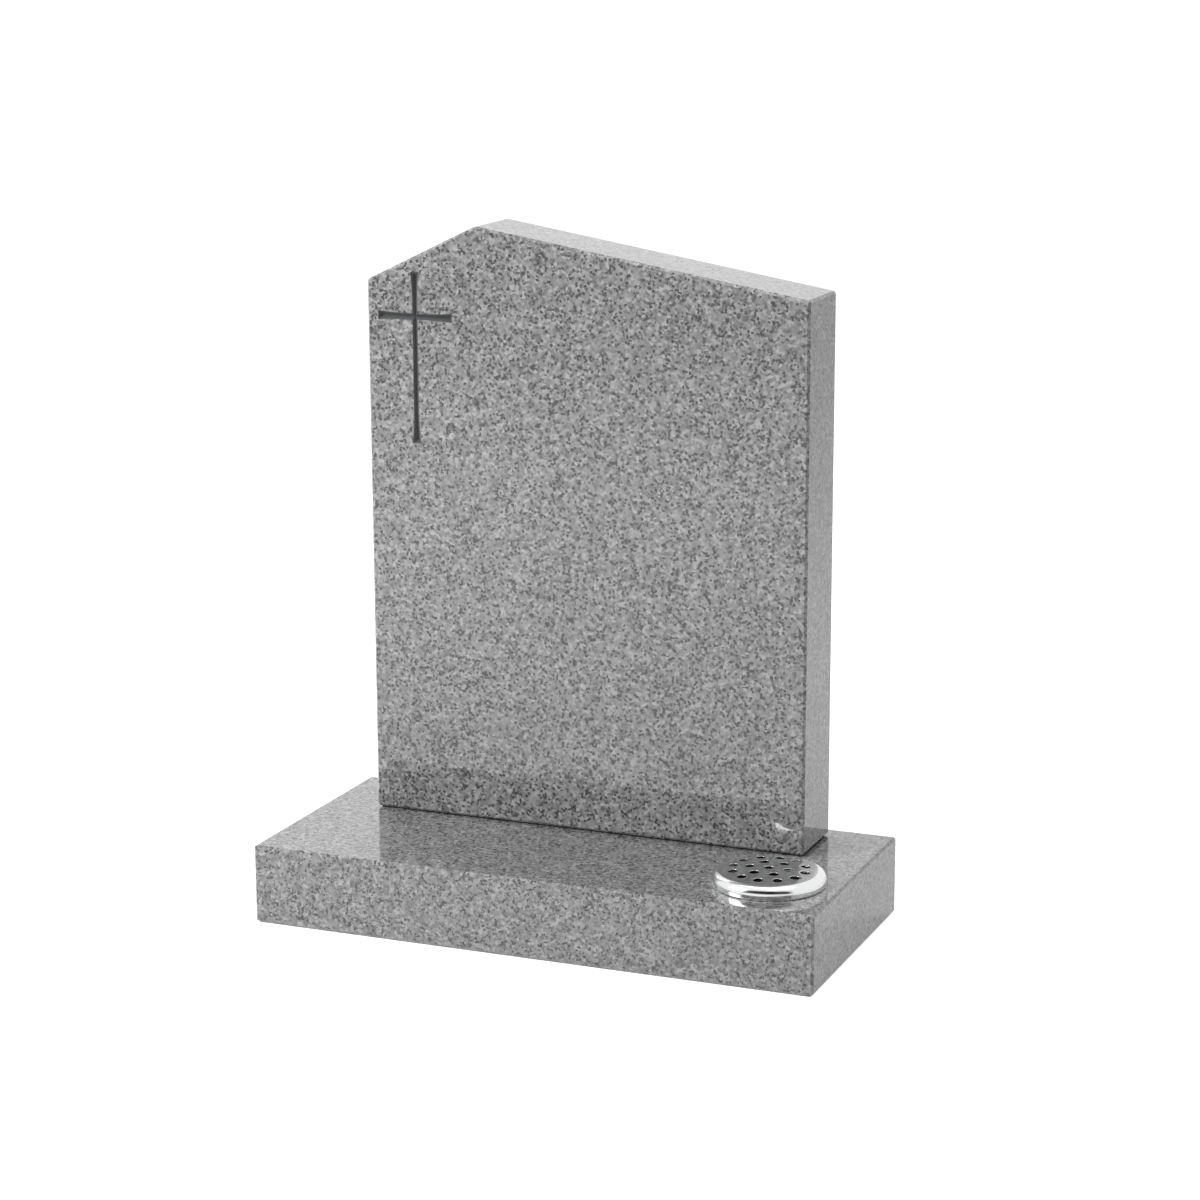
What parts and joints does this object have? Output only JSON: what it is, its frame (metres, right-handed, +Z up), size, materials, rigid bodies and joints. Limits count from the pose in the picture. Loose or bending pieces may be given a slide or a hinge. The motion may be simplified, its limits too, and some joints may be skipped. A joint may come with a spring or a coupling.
{
  "type": "granite headstone",
  "caption": "Granite headstone with an offset peak and a V-cut cross, standing on a granite base that holds an aluminium flower pot under a pierced lid.",
  "frame": {"origin": "centre of the base's underside", "axes": "+Z up; the inscribed face looks along -Y; +X to the right of someone reading it"},
  "size_m": [0.74, 0.332, 0.8656],
  "materials": {
    "granite": "fine-grained grey granite, polished all over",
    "compound": "black setting compound, raked back and matt",
    "steel": "stainless steel bar as drawn",
    "enamel": "dark grey stone enamel, satin",
    "aluminium": "spun and polished"
  },
  "bodies": {
    "memorial": {"base": "granite", "headstone": "granite", "setting_bed": "compound", "dowel_left": "steel", "dowel_right": "steel", "cross_enamel": "enamel"},
    "pot": {"flower_pot": "aluminium"},
    "lid": {"flower_lid": "aluminium"}
  },
  "joints": [
    {"name": "pot_lift", "type": "slide", "parent": "memorial", "child": "pot", "axis": [0, 0, 1], "range_m": [0, 0.12]},
    {"name": "lid_lift", "type": "slide", "parent": "pot", "child": "lid", "axis": [0, 0, 1], "range_m": [0, 0.06]}
  ]
}
